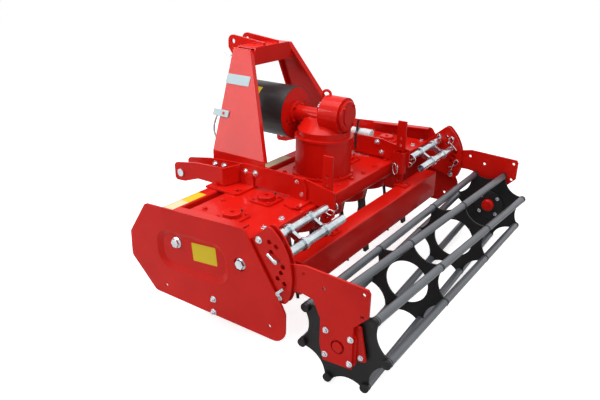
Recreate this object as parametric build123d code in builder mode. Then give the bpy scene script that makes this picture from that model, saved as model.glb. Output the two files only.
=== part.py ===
import os
from math import atan2, cos, radians, sin

from build123d import *

# Compact power harrow with a cage roller, in millimetres.
# X runs across the machine, Y forward to the tractor, Z up, ground at Z = 0.
# The origin is on the ground below the middle of the machine's box.
# Distances written as y are measured forward from the line of the rotors.

# Rotors and tines
rotor_count = 7
rotor_end_gap = 137.0
tine_spread = 51.0
tine_inset = 6.0
tine_width = 62.0
tine_thickness = 14.0
carrier_gap = 4.5
carrier_top = 368.0
carrier_depth = 24.0
rotor_shaft_r = 30.0
shaft_clearance = 0.05
tine_cut = 18.6
tine_cut_height = 140.0
rotor_shaft_play = 4.0
rotor_turns = (90.0, -56.0, 90.0, -56.0, 90.0, -56.0, 90.0)

# Gear trough and its cover
trough_half = 872.0
trough_half_depth = 205.0
trough_floor_half = 155.0
trough_bottom = 396.0
cover_top = 523.0
cover_sheet = 6.0
cover_side_gap = 7.0
cover_lip = 40.0
boss_r = 72.0
boss_height = 14.0
shaft_seat_depth = 46.0

# Caps over the rotor bearings
cap_flange = 124.0
cap_gap = 21.0
cap_flange_height = 9.0
cap_r = 42.5
cap_height = 21.0
cap_plug_r = 9.0
cap_plug_height = 7.0

# Gearbox
gearbox_foot_rim = 15.0
gearbox_foot_height = 13.0
gearbox_height = 209.0
gearbox_lip = 6.0
gearbox_neck_step = 9.0
gearbox_neck_height = 32.0
shaft_above_neck = 55.0
hood_top_width = 84.0
hood_top_length = 180.0
head_above_shaft = 27.0
head_r = 93.0
head_rear = 126.0
head_front = -14.0
head_cover_r = 79.0
head_cover_height = 15.0
head_ring_r = 47.0
housing_r = 42.0
housing_reach = 16.0
housing_flange_r = 60.0
housing_flange_t = 14.0
filler_place = (-42.0, -2.0)
filler_r = 18.0
filler_height = 66.0

# Power take-off and its shield
pto_shaft_r = 17.45
pto_collar_r = 25.0
pto_shaft_reach = 114.0
pto_seat_depth = 60.0
pto_collar_front = 4.0
pto_chamfer = 2.0
shield_r = 136.0
shield_wall = 4.0
shield_length = 292.0
shield_plate_height = 6.0
seat_gap = 0.3

# Three point frame
bracket_shift = 19.5
bracket_plate = 10.0
bracket_rise = 13.0
bracket_height = 102.0
bracket_rear_reach = 49.5
bracket_rear_height = 98.0
bracket_rear_drop = 30.0
bracket_rear_slope = 174.0
bracket_straight_end = 170.0
clevis_gap = 88.0
clevis_nose = 46.0
clevis_nose_height = 82.0
clevis_nose_corner = 12.0
clevis_throat = 104.0
clevis_throat_top = 72.0
clevis_web_inner_y = 231.0
clevis_web_outer_y = 257.0
clevis_top = 627.0
clevis_bend_r = 18.0
hitch_pin_y = 546.0
hitch_pin_z = 546.0
hitch_pin_r = 14.0
hitch_pin_head_r = 20.0
hitch_pin_head_t = 8.0
pin_clearance = 0.05
leg_plate = 8.0
leg_flange = 30.0
leg_top_x = 178.0
leg_top_drop = 5.0
leg_bottom_rise = 23.0
leg_tab_rise = 30.0
leg_tab_corner = (60.0, 45.0)
leg_rear_bottom = 92.0
leg_front_bottom = 420.0
leg_rear_top = 338.0
beam_rear_y = 328.0
beam_front_y = 446.0
beam_height = 88.0
beam_gap = 112.0
beam_sheet = 8.0
toplink_x = 52.0
toplink_plate = 12.0
toplink_y = 546.0
toplink_rise = 4.0
toplink_hole_r = 13.0
toplink_tip_r = 33.0
toplink_rear_step = 10.0
toplink_seat_height = 14.0
foot_plate = 10.0
rear_foot = ((0.0, -186.0), (93.0, -186.0), (115.0, -160.0), (93.0, -100.0), (0.0, -60.0))
front_foot = ((0.0, 140.0), (128.0, 140.0), (141.0, 155.0), (141.0, 340.0), (0.0, 340.0))
rear_gusset = ((-168.0, 0.0), (-168.0, 67.0), (-145.0, 113.0), (-95.0, 113.0), (-72.0, 0.0))
front_gusset = ((145.0, 0.0), (145.0, 77.0), (225.0, 77.0), (225.0, 0.0))

# Front beam
front_beam_y = 298.0
front_beam_size = 72.0

# Side plates
side_gap = 4.0
side_plate = 8.0
side_outline = (
    (347.0, 567.0),
    (459.0, 403.0),
    (463.0, 281.0),
    (316.0, 138.0),
    (-422.0, 139.0),
    (-423.0, 282.0),
    (-407.0, 313.0),
    (-219.0, 600.0),
)
side_corner_r = 30.0
side_heel_r = 62.0
side_drain_holes = ((246.0, 187.0), (-344.0, 199.0))
side_drain_r = 8.0
side_flange = ((176.0, 577.0), (-208.0, 599.4))
side_flange_width = 48.0
panel_centre = (78.0, 386.0)
panel_size = (415.0, 190.0)
panel_corner_r = 78.0
panel_lean = -3.0
recess_depth = 14.0
recess_taper = 62.0
front_bolt = (172.0, 421.0)
bolt_r = 14.0
bolt_head_r = 21.0
bolt_head_height = 14.0
bolt_washer_rim = 4.0
bolt_washer_t = 4.0
clearance_hole_r = 30.0

# Roller arms between the sector plates
pivot = (-194.0, 434.0)
pivot_pin_r = 15.0
sector_plate = 8.0
sector_gap = 5.0
arm_plate = 10.0
sector_front = -150.0
sector_front_height = 45.0
sector_corner_r = 24.0
sector_low = (-414.7, 316.6)
sector_middle = (-436.6, 494.5)
sector_high = (-333.8, 641.3)
sector_hole_r = 10.3
stop_pin_r = 10.0
stop_pin_reach = 16.0
stop_place = (-374.6, 504.8)
lower_pin_place = (-387.8, 367.3)
free_hole_places = (
    (-334.8, 571.8),
    (-344.1, 531.5),
    (-367.7, 560.7),
    (-401.1, 483.7),
    (-391.9, 455.1),
    (-375.8, 426.1),
    (-408.9, 412.2),
)
distance_bolts = ((-296.0, 574.0), (-393.0, 341.0))
distance_bolt_r = 10.0
arm_heel = ((-493.0, 514.0), (-765.0, 503.0), (-775.0, 489.0), (-774.0, 389.0), (-715.0, 327.0))
arm_foot = ((-715.0, 138.0), (-587.0, 129.0), (-570.0, 198.0), (-569.0, 312.0))
arm_belly = ((-535.0, 383.0), (-484.0, 391.0), (-428.0, 389.0), (-160.0, 389.0))
arm_step = -423.0
arm_edge_rise = 0.084
arm_holes = ((-490.0, 476.0), (-581.0, 445.0), (-750.0, 478.0), (-749.0, 382.0))
arm_hole_r = 8.0

# Guide and stop tubes
guide_tube = (-299.0, 546.0)
guide_tube_r = 17.0
guide_tube_gap = 47.0
guide_sleeve_r = 22.0
guide_sleeve_length = 60.0
guide_sleeve_gap = 30.0
guide_lug_t = 12.0
stop_tube_r = 19.5
stop_tube_wall = 3.5
stop_tube_gap = 22.0
stop_tube_bore_depth = 90.0
stop_shoulder = 20.0
link_thickness = 18.0
link_shares = (0.271, 0.645)
link_rims = (9.0, 8.0)
link_half = 18.0
link_lean = 6.0

# Cage roller
roller_y = -651.0
roller_z = 214.5
roller_bar_circle_r = 196.0
roller_bar_r = 18.5
roller_bars_count = 7
roller_first_angle = 29.9
roller_twist = 25.7
roller_side_gap = 28.0
roller_bay_share = 0.3314
roller_bar_end = 14.0
roller_disc_t = 8.0
disc_rim = 12.0
scallop_offset_share = 0.3367
scallop_share = 0.5306
disc_web = 92.0
roller_shaft_r = 22.0
roller_shaft_end = 4.0
roller_shaft_seat = 30.0
hub_flange_r = 84.0
hub_flange_t = 10.0
hub_dome_r = 36.0
hub_dome_t = 26.0
bearing_plate = 10.0
bearing_size = 150.0
bearing_corner_r = 24.0

# Levelling beam
level_inset = 165.0
level_depth = 92.0
level_lead = 0.5
level_bottom = 244.0
level_top = 399.0
level_corner_r = 8.0
hanger_t = 12.0
hanger_stand_off = 21.0
hanger_width = 51.0
hanger_top = 764.0
hanger_hole_pitch = 40.0
hanger_hole_r = 8.3
hanger_holes_above = 5
hanger_holes_below = 2
hanger_pin_z = 510.0
hanger_pin_r = 8.0
hanger_pin_end = 16.0
hanger_play = 4.0
saddle_width = 70.0
saddle_sheet = 8.0
saddle_rear = 26.0
saddle_apron_t = 10.0
saddle_apron_height = 52.0
sleeve_bottom = 471.0
sleeve_top = 592.0
sleeve_wall = 6.0
sleeve_play = 5.0
sleeve_bend_r = 16.0

# Document canister on the right bracket
canister_r = 27.0
canister_rear = -52.0
canister_front = 120.0
canister_edge_r = 4.0

# Values that follow from the sizes above
rotor_pitch = (trough_half - rotor_end_gap) / (rotor_count // 2)
carrier_r = rotor_pitch / 2 - carrier_gap
tine_top_r = carrier_r - tine_inset
tine_tip_r = tine_top_r + tine_spread
cover_half_depth = trough_half_depth + cover_side_gap + cover_sheet
gearbox_foot_r = rotor_pitch - cap_flange / 2 - cap_gap
gearbox_r = gearbox_foot_r - gearbox_foot_rim
gearbox_neck_r = gearbox_r - gearbox_neck_step
housing_front = gearbox_foot_r + housing_reach
pto_shaft_front = housing_front + pto_shaft_reach
shield_front = housing_front + shield_length
bracket_x = 1.5 * rotor_pitch + bracket_shift
hanger_y = -cover_half_depth - hanger_stand_off - hanger_width / 2
level_front = hanger_y + level_lead
level_rear = level_front - level_depth
bracket_rear = hanger_y - bracket_rear_reach
hitch_front = hitch_pin_y + clevis_nose
roller_r = roller_bar_circle_r + roller_bar_r
rotor_line_y = (roller_r - roller_y - hitch_front) / 2
middle_rotor = rotor_count // 2
rotor_xs = [(number - middle_rotor) * rotor_pitch for number in range(rotor_count)]
trough_top = cover_top - cover_sheet
boss_bottom = trough_bottom - boss_height
carrier_bottom = carrier_top - carrier_depth
gearbox_rim = cover_top + gearbox_height
gearbox_neck_top = gearbox_rim + gearbox_neck_height
pto_height = gearbox_neck_top + shaft_above_neck
head_height = pto_height + head_above_shaft
bracket_bottom = cover_top + bracket_rise
bracket_top = bracket_bottom + bracket_height
bracket_outer_face = bracket_x + bracket_plate
clevis_outer_x = bracket_outer_face + clevis_gap + bracket_plate
leg_bottom_z = bracket_top + leg_bottom_rise
leg_tab_bottom = bracket_bottom + leg_tab_rise
beam_bottom = pto_height + shield_r + beam_gap
beam_top = beam_bottom + beam_height
leg_top_z = beam_top - leg_top_drop
toplink_z = beam_top + toplink_rise
inner_sector_x = trough_half
arm_x = inner_sector_x + sector_plate + sector_gap
outer_sector_x = arm_x + arm_plate + sector_gap
sector_outer_face = outer_sector_x + sector_plate
side_x = sector_outer_face + side_gap
side_outer_x = side_x + side_plate
pivot_z = pivot[1]
guide_inner_x = bracket_outer_face + guide_tube_gap
stop_inner_x = bracket_outer_face + stop_tube_gap
link_xs = [guide_inner_x + share * (trough_half - guide_inner_x) for share in link_shares]
roller_end_x = arm_x - roller_side_gap
roller_mid_x = roller_end_x * roller_bay_share
scallop_offset = roller_bar_circle_r * scallop_offset_share
scallop_r = roller_bar_circle_r * scallop_share
disc_hole_r = roller_bar_circle_r - disc_web
level_half = trough_half - level_inset
sector_holes = (*free_hole_places, stop_place, lower_pin_place)
hanger_x = bracket_x - hanger_play - hanger_t / 2
sides = (("left", -1), ("right", 1))


def side_view(x):
    """Sketch plane across the machine: forward is x, up is y, and it extrudes to the right."""
    return Plane(origin=(x, rotor_line_y, 0), x_dir=(0, 1, 0), z_dir=(1, 0, 0))


def top_view(z):
    """Sketch plane seen from above: right is x, forward is y, and it extrudes upward."""
    return Plane(origin=(0, rotor_line_y, z))


def rear_view(y):
    """Sketch plane seen from behind: right is x, up is y, and it extrudes rearward."""
    return Plane(origin=(0, rotor_line_y + y, 0), x_dir=(1, 0, 0), z_dir=(0, -1, 0))


os.makedirs("parts", exist_ok=True)

# Gear trough: closed tub with one bearing boss below each rotor
with BuildPart() as trough:
    with BuildSketch(side_view(-trough_half)):
        with BuildLine():
            Polyline(
                (-trough_half_depth, trough_top),
                (-trough_half_depth, trough_bottom + trough_half_depth - trough_floor_half),
                (-trough_floor_half, trough_bottom),
                (trough_floor_half, trough_bottom),
                (trough_half_depth, trough_bottom + trough_half_depth - trough_floor_half),
                (trough_half_depth, trough_top),
                close=True,
            )
        make_face()
    extrude(amount=2 * trough_half)
    with BuildSketch(top_view(trough_bottom)):
        with Locations(*[(x, 0) for x in rotor_xs]):
            Circle(boss_r)
    extrude(amount=-boss_height)
    with BuildSketch(top_view(boss_bottom)):
        with Locations(*[(x, 0) for x in rotor_xs]):
            Circle(rotor_shaft_r + shaft_clearance)
    extrude(amount=shaft_seat_depth + boss_height, mode=Mode.SUBTRACT)
trough.part.label = "trough"
export_step(trough.part, "parts/trough.step")

# Trough cover: folded sheet with a lip down the front and the rear
with BuildPart() as trough_cover:
    with BuildSketch(side_view(-trough_half)):
        with Locations((0, cover_top - cover_lip / 2)):
            Rectangle(2 * cover_half_depth, cover_lip)
        with Locations((0, cover_top - cover_sheet - (cover_lip - cover_sheet) / 2)):
            Rectangle(2 * (cover_half_depth - cover_sheet), cover_lip - cover_sheet, mode=Mode.SUBTRACT)
    extrude(amount=2 * trough_half)
    fillet(trough_cover.edges().filter_by(Axis.X).group_by(Axis.Z)[-1], cover_sheet)
trough_cover.part.label = "trough_cover"
export_step(trough_cover.part, "parts/trough_cover.step")

# Bearing caps on the cover, one over each rotor but the middle one
with BuildPart() as rotor_caps:
    cap_places = [(x, 0) for x in rotor_xs if abs(x) > gearbox_r]
    with BuildSketch(top_view(cover_top)):
        with Locations(*cap_places):
            RectangleRounded(cap_flange, cap_flange, cap_flange / 7)
    extrude(amount=cap_flange_height)
    with BuildSketch(top_view(cover_top)):
        with Locations(*cap_places):
            Circle(cap_r)
    extrude(amount=cap_flange_height + cap_height)
    fillet(rotor_caps.edges().group_by(Axis.Z)[-1], cap_height / 4)
    with BuildSketch(top_view(cover_top + cap_flange_height + cap_height)):
        with Locations(*cap_places):
            Circle(cap_plug_r)
    extrude(amount=cap_plug_height)
rotor_caps.part.label = "rotor_caps"
export_step(rotor_caps.part, "parts/rotor_caps.step")

# Gearbox: flanged drum and cone turned about the middle rotor, with a lying head and shaft housing
with BuildPart() as gearbox_body:
    with BuildSketch(side_view(0)):
        with BuildLine():
            Polyline(
                (0, cover_top),
                (gearbox_foot_r, cover_top),
                (gearbox_foot_r, cover_top + gearbox_foot_height),
                (gearbox_r, cover_top + gearbox_foot_height),
                (gearbox_r, gearbox_rim - 2 * gearbox_lip),
                (gearbox_r + gearbox_lip, gearbox_rim - 2 * gearbox_lip),
                (gearbox_r + gearbox_lip, gearbox_rim),
                (gearbox_neck_r, gearbox_rim),
                (gearbox_neck_r, gearbox_neck_top),
                (0, gearbox_neck_top),
                close=True,
            )
        make_face()
    revolve(axis=Axis((0, rotor_line_y, 0), (0, 0, 1)))
    with BuildSketch(top_view(gearbox_neck_top)):
        Circle(gearbox_neck_r)
    with BuildSketch(top_view(pto_height)):
        Rectangle(hood_top_width, hood_top_length)
    loft()
    with BuildSketch(rear_view(-head_rear)):
        with Locations((0, (gearbox_neck_top + head_height) / 2)):
            Rectangle(2 * gearbox_neck_r, head_height - gearbox_neck_top)
    extrude(amount=gearbox_neck_r, mode=Mode.SUBTRACT)
    with BuildSketch(rear_view(head_front)):
        with Locations((0, head_height)):
            Circle(head_r)
    extrude(amount=head_front + head_rear)
    with BuildSketch(rear_view(housing_front)):
        with Locations((0, pto_height)):
            Circle(housing_r)
    extrude(amount=housing_front)
    with BuildSketch(rear_view(housing_front)):
        with Locations((0, pto_height)):
            Circle(housing_flange_r)
    extrude(amount=housing_flange_t)
    with BuildSketch(top_view(pto_height)):
        with Locations(filler_place):
            Circle(filler_r)
    extrude(amount=filler_height)
    with BuildSketch(rear_view(housing_front)):
        with Locations((0, pto_height)):
            Circle(pto_collar_r + shaft_clearance)
    extrude(amount=pto_seat_depth, mode=Mode.SUBTRACT)
gearbox_body.part.label = "gearbox_body"
export_step(gearbox_body.part, "parts/gearbox_body.step")

# Round rear cover of the gearbox head, with its raised ring
with BuildPart() as gearbox_cover:
    with BuildSketch(rear_view(-head_rear)):
        with Locations((0, head_height)):
            Circle(head_cover_r)
    extrude(amount=head_cover_height)
    chamfer(gearbox_cover.edges().group_by(Axis.Y)[0], head_cover_height / 3)
    with BuildSketch(rear_view(-head_rear - head_cover_height)):
        with Locations((0, head_height)):
            Circle(head_ring_r)
    extrude(amount=head_cover_height / 3)
gearbox_cover.part.label = "gearbox_cover"
export_step(gearbox_cover.part, "parts/gearbox_cover.step")

# Round plate that closes the rear of the shield round the shaft housing
with BuildPart() as shield_plate_part:
    with BuildSketch(rear_view(housing_front + shield_plate_height)):
        with Locations((0, pto_height)):
            Circle(shield_r - shield_wall - seat_gap)
            Circle(pto_collar_r + shield_wall, mode=Mode.SUBTRACT)
        with Locations((shield_r / 3, pto_height - shield_r)):
            Rectangle(shield_r / 3, shield_r, mode=Mode.SUBTRACT)
    extrude(amount=shield_plate_height)
shield_plate_part.part.label = "shield_plate"
export_step(shield_plate_part.part, "parts/shield_plate.step")

# Plastic shield tube round the power take-off
with BuildPart() as pto_shield:
    with BuildSketch(rear_view(shield_front)):
        with Locations((0, pto_height)):
            Circle(shield_r)
            Circle(shield_r - shield_wall, mode=Mode.SUBTRACT)
    extrude(amount=shield_front - housing_front)
pto_shield.part.label = "pto_shield"
export_step(pto_shield.part, "parts/pto_shield.step")

# Power take-off stub: collar in the housing and shaft end with its locking groove
with BuildPart() as pto_shaft:
    with BuildSketch(rear_view(housing_front + shield_plate_height + pto_collar_front)):
        with Locations((0, pto_height)):
            Circle(pto_collar_r)
    extrude(amount=pto_seat_depth + shield_plate_height - pto_collar_front / 2)
    with BuildSketch(rear_view(pto_shaft_front)):
        with Locations((0, pto_height)):
            Circle(pto_shaft_r)
    extrude(amount=pto_shaft_front - housing_front)
    chamfer(pto_shaft.edges().group_by(Axis.Y)[-1], pto_chamfer)
pto_shaft.part.label = "pto_shaft"
export_step(pto_shaft.part, "parts/pto_shaft.step")

# Mast legs: folded channels that lean together, each with an upright tab on its bracket
leg_slope_x = bracket_x - leg_top_x
leg_slope_z = leg_top_z - leg_bottom_z
leg_length = (leg_slope_x**2 + leg_slope_z**2) ** 0.5
leg_front_top = beam_front_y
tab_corner_run, tab_corner_rise = leg_tab_corner
for side_name, side in sides:
    leg_plane = Plane(
        origin=(side * bracket_x, rotor_line_y, leg_bottom_z),
        x_dir=(0, 1, 0),
        z_dir=(leg_slope_z / leg_length, 0, side * leg_slope_x / leg_length),
    )
    with BuildPart() as mast_leg:
        with BuildSketch(leg_plane):
            with BuildLine():
                Polyline(
                    (leg_rear_bottom, 0),
                    (leg_front_bottom, 0),
                    (leg_front_top, leg_length),
                    (leg_rear_top, leg_length),
                    close=True,
                )
            make_face()
        extrude(amount=-side * leg_flange)
        with BuildSketch(leg_plane.offset(-side * leg_plate)):
            with BuildLine():
                Polyline(
                    (leg_rear_bottom + leg_plate, -leg_flange),
                    (leg_front_bottom - leg_plate, -leg_flange),
                    (leg_front_top - leg_plate, leg_length + leg_flange),
                    (leg_rear_top + leg_plate + leg_flange / 2, leg_length + leg_flange),
                    close=True,
                )
            make_face()
        extrude(amount=-side * leg_flange, mode=Mode.SUBTRACT)
        with BuildSketch(side_view(side * bracket_x)):
            with BuildLine():
                Polyline(
                    (leg_rear_bottom, leg_bottom_z + leg_plate / 2),
                    (leg_rear_bottom, leg_tab_bottom),
                    (leg_front_bottom - tab_corner_run, leg_tab_bottom),
                    (leg_front_bottom, leg_tab_bottom + tab_corner_rise),
                    (leg_front_bottom, leg_bottom_z + leg_plate / 2),
                    close=True,
                )
            make_face()
        extrude(amount=-side * leg_plate)
    mast_leg.part.label = f"mast_leg_{side_name}"
    export_step(mast_leg.part, f"parts/mast_leg_{side_name}.step")

# Cross beam between the tops of the legs: folded sheet, open below
slope_run = leg_slope_x / leg_slope_z
flange_run = leg_flange * leg_length / leg_slope_z
with BuildPart() as mast_beam:
    with BuildSketch(rear_view(beam_front_y)):
        with BuildLine():
            half_top = leg_top_x - (beam_top - leg_top_z) * slope_run - flange_run
            half_bottom = leg_top_x + (leg_top_z - beam_bottom) * slope_run - flange_run
            Polyline(
                (-half_top, beam_top),
                (-half_bottom, beam_bottom),
                (half_bottom, beam_bottom),
                (half_top, beam_top),
                close=True,
            )
        make_face()
    extrude(amount=beam_front_y - beam_rear_y)
    with BuildSketch(side_view(-bracket_x)):
        with Locations(((beam_rear_y + beam_front_y) / 2, (beam_bottom + beam_top) / 2 - beam_sheet)):
            Rectangle(beam_front_y - beam_rear_y - 2 * beam_sheet, beam_top - beam_bottom)
    extrude(amount=2 * bracket_x, mode=Mode.SUBTRACT)
mast_beam.part.label = "mast_beam"
export_step(mast_beam.part, "parts/mast_beam.step")

# Top link plates, notched over the corner of the cross beam, with a round nose at the hole
with BuildPart() as toplink_plates:
    toplink_nose = toplink_y + toplink_tip_r
    for side_name, side in sides:
        with BuildSketch(side_view(side * toplink_x)):
            with BuildLine():
                Polyline(
                    (beam_rear_y + toplink_rear_step, beam_top),
                    (beam_front_y, beam_top),
                    (beam_front_y, beam_bottom + toplink_seat_height),
                    (toplink_nose - toplink_tip_r, beam_bottom + toplink_seat_height),
                    (toplink_nose, toplink_z - toplink_tip_r),
                    (toplink_nose, toplink_z),
                    (toplink_y, toplink_z + toplink_tip_r),
                    (beam_rear_y + toplink_rear_step, beam_top + toplink_seat_height),
                    close=True,
                )
            make_face()
            with Locations((toplink_y, toplink_z)):
                Circle(toplink_tip_r)
                Circle(toplink_hole_r, mode=Mode.SUBTRACT)
        extrude(amount=side * toplink_plate)
toplink_plates.part.label = "toplink_plates"
export_step(toplink_plates.part, "parts/toplink_plates.step")

# Hitch brackets: long plate on the trough, with an outer plate that makes the lower link clevis
nose_top = hitch_pin_z + (clevis_nose_height + clevis_nose_corner) / 2
nose_bottom = nose_top - clevis_nose_height - clevis_nose_corner
clevis_front = [
    (hitch_pin_y - clevis_throat, hitch_pin_z + clevis_throat_top),
    (hitch_front - clevis_nose_corner, nose_top),
    (hitch_front, nose_top - clevis_nose_corner),
    (hitch_front, nose_bottom + clevis_nose_corner),
    (hitch_front - clevis_nose_corner, nose_bottom),
    (hitch_pin_y - clevis_nose / 2, nose_bottom + clevis_nose_corner / 3),
    (hitch_pin_y - clevis_throat - clevis_nose_corner, bracket_bottom),
]
for side_name, side in sides:
    with BuildPart() as hitch_bracket:
        with BuildSketch(side_view(side * bracket_x)):
            with BuildLine():
                Polyline(
                    (bracket_rear, bracket_bottom - bracket_rear_drop),
                    (bracket_rear, bracket_bottom - bracket_rear_drop + bracket_rear_height),
                    (bracket_rear + bracket_rear_slope, bracket_top),
                    (bracket_straight_end, bracket_top),
                    *clevis_front,
                    (bracket_rear + bracket_rear_slope, bracket_bottom),
                    close=True,
                )
            make_face()
            with Locations((hitch_pin_y, hitch_pin_z)):
                Circle(hitch_pin_r + pin_clearance, mode=Mode.SUBTRACT)
            with Locations((hanger_y, hanger_pin_z)):
                Circle(hanger_pin_r + seat_gap, mode=Mode.SUBTRACT)
        extrude(amount=side * bracket_plate)
        outer_plate_rear = clevis_web_outer_y + clevis_bend_r
        with BuildSketch(side_view(side * clevis_outer_x)):
            with BuildLine():
                Polyline(
                    (outer_plate_rear, clevis_top),
                    *clevis_front,
                    (outer_plate_rear, bracket_bottom),
                    close=True,
                )
            make_face()
            with Locations((hitch_pin_y, hitch_pin_z)):
                Circle(hitch_pin_r + pin_clearance, mode=Mode.SUBTRACT)
        extrude(amount=-side * bracket_plate)
        outer_corner = (side * clevis_outer_x, clevis_web_outer_y)
        inner_corner = (side * (clevis_outer_x - bracket_plate), clevis_web_outer_y + bracket_plate)
        with BuildSketch(top_view(bracket_bottom)) as web:
            with BuildLine():
                Polyline(
                    (side * bracket_outer_face, clevis_web_inner_y),
                    outer_corner,
                    (side * clevis_outer_x, outer_plate_rear + bracket_plate),
                    (side * (clevis_outer_x - bracket_plate), outer_plate_rear + bracket_plate),
                    inner_corner,
                    (side * bracket_outer_face, clevis_web_inner_y + bracket_plate),
                    close=True,
                )
            make_face()
            fillet(web.vertices().sort_by_distance(outer_corner)[0], clevis_bend_r)
            fillet(web.vertices().sort_by_distance(inner_corner)[0], clevis_bend_r - bracket_plate)
        extrude(amount=clevis_top - bracket_bottom)
    hitch_bracket.part.label = f"hitch_bracket_{side_name}"
    export_step(hitch_bracket.part, f"parts/hitch_bracket_{side_name}.step")

# Lower link pins, each with a head outside the clevis
with BuildPart() as hitch_pins:
    for side_name, side in sides:
        with BuildSketch(side_view(side * (bracket_x - hitch_pin_r))):
            with Locations((hitch_pin_y, hitch_pin_z)):
                Circle(hitch_pin_r)
        extrude(amount=side * (clevis_outer_x - bracket_x + hitch_pin_r + seat_gap))
        with BuildSketch(side_view(side * (clevis_outer_x + seat_gap))):
            with Locations((hitch_pin_y, hitch_pin_z)):
                Circle(hitch_pin_head_r)
        extrude(amount=side * hitch_pin_head_t)
hitch_pins.part.label = "hitch_pins"
export_step(hitch_pins.part, "parts/hitch_pins.step")

# Feet that stand the brackets on the cover, at the rear and over the front beam
# Foot corners are out from the bracket and forward; gusset corners are forward and up from the cover.
with BuildPart() as frame_feet:
    for side_name, side in sides:
        for foot in (rear_foot, front_foot):
            with BuildSketch(top_view(cover_top)):
                with BuildLine():
                    Polyline(*[(side * (bracket_outer_face + out), y) for out, y in foot], close=True)
                make_face()
            extrude(amount=foot_plate)
        for gusset in (rear_gusset, front_gusset):
            with BuildSketch(side_view(side * bracket_outer_face)):
                with BuildLine():
                    Polyline(*[(y, cover_top + rise) for y, rise in gusset], close=True)
                make_face()
            extrude(amount=side * foot_plate)
frame_feet.part.label = "frame_feet"
export_step(frame_feet.part, "parts/frame_feet.step")

# Front beam under the front feet
with BuildPart() as front_beam:
    with BuildSketch(side_view(-trough_half)):
        with Locations((front_beam_y, cover_top - front_beam_size / 2)):
            RectangleRounded(front_beam_size, front_beam_size, front_beam_size / 9)
    extrude(amount=2 * trough_half)
front_beam.part.label = "front_beam"
export_step(front_beam.part, "parts/front_beam.step")

# Side plates: pressed sheets with a recessed panel and a folded flange over the trough
heel = side_outline[4]
flange_start, flange_end = side_flange
for side_name, side in sides:
    with BuildPart() as side_plate_part:
        with BuildSketch(side_view(side * side_x)) as outline:
            with BuildLine():
                Polyline(*side_outline, close=True)
            make_face()
            heel_corner = outline.vertices().sort_by_distance(heel)[0]
            fillet(heel_corner, side_heel_r)
            fillet(outline.vertices().sort_by_distance(heel)[2:], side_corner_r)
            with Locations(pivot):
                Circle(clearance_hole_r, mode=Mode.SUBTRACT)
            with Locations(*side_drain_holes):
                Circle(side_drain_r, mode=Mode.SUBTRACT)
        extrude(amount=side * side_plate)
        with BuildSketch(side_view(side * side_x)):
            with Locations(Location((*panel_centre, 0), panel_lean)):
                RectangleRounded(*panel_size, panel_corner_r)
        extrude(amount=-side * recess_depth, taper=recess_taper)
        with BuildSketch(side_view(side * side_outer_x)):
            with Locations(Location((*panel_centre, 0), panel_lean)):
                RectangleRounded(*panel_size, panel_corner_r)
        extrude(amount=-side * recess_depth, taper=recess_taper, mode=Mode.SUBTRACT)
        with BuildSketch(side_view(side * trough_half)):
            with Locations(front_bolt):
                Circle(bolt_head_r + bolt_washer_rim)
        extrude(amount=side * (side_x - recess_depth - trough_half))
        with BuildSketch(side_view(side * trough_half)):
            with Locations(front_bolt):
                Circle(bolt_r + seat_gap)
        extrude(amount=side * (side_outer_x - trough_half), mode=Mode.SUBTRACT)
        with BuildSketch(side_view(side * side_outer_x)):
            with BuildLine():
                Polyline(
                    flange_start,
                    flange_end,
                    (flange_end[0], flange_end[1] - side_plate),
                    (flange_start[0], flange_start[1] - side_plate),
                    close=True,
                )
            make_face()
        extrude(amount=-side * side_flange_width)
    side_plate_part.part.label = f"side_plate_{side_name}"
    export_step(side_plate_part.part, f"parts/side_plate_{side_name}.step")

# Bolts through the side plates: the front one, and the pivot of the roller arm
with BuildPart() as side_bolts:
    for side_name, side in sides:
        for place, shank_r, seat_x in (
            (front_bolt, bolt_r, side_outer_x - recess_depth),
            (pivot, pivot_pin_r, sector_outer_face),
        ):
            with BuildSketch(side_view(side * trough_half)):
                with Locations(place):
                    Circle(shank_r)
            extrude(amount=side * (seat_x - trough_half))
            with BuildSketch(side_view(side * seat_x)):
                with Locations(place):
                    Circle(bolt_head_r + bolt_washer_rim)
            extrude(amount=side * bolt_washer_t)
            with BuildSketch(side_view(side * seat_x)):
                with Locations(place):
                    RegularPolygon(bolt_head_r, 6)
            extrude(amount=side * (bolt_head_height + bolt_washer_t))
side_bolts.part.label = "side_bolts"
export_step(side_bolts.part, "parts/side_bolts.step")

# Sector plates with the rows of stop holes, in pairs joined by two distance bolts
for side_name, side in sides:
    with BuildPart() as sector_pair:
        for plate_x in (inner_sector_x, outer_sector_x):
            with BuildSketch(side_view(side * plate_x)) as fan:
                with BuildLine():
                    Polyline(
                        sector_low,
                        (sector_front, pivot_z - sector_front_height),
                        (sector_front, pivot_z + sector_front_height),
                        sector_high,
                    )
                    ThreePointArc(sector_high, sector_middle, sector_low)
                make_face()
                fillet(fan.vertices(), sector_corner_r)
                with Locations(pivot):
                    Circle(pivot_pin_r + pin_clearance, mode=Mode.SUBTRACT)
                with Locations(*sector_holes):
                    Circle(sector_hole_r, mode=Mode.SUBTRACT)
            extrude(amount=side * sector_plate)
        with BuildSketch(side_view(side * (inner_sector_x + sector_plate))):
            with Locations(*distance_bolts):
                Circle(distance_bolt_r)
        extrude(amount=side * (outer_sector_x - inner_sector_x - sector_plate))
    sector_pair.part.label = f"sector_plates_{side_name}"
    export_step(sector_pair.part, f"parts/sector_plates_{side_name}.step")

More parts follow.
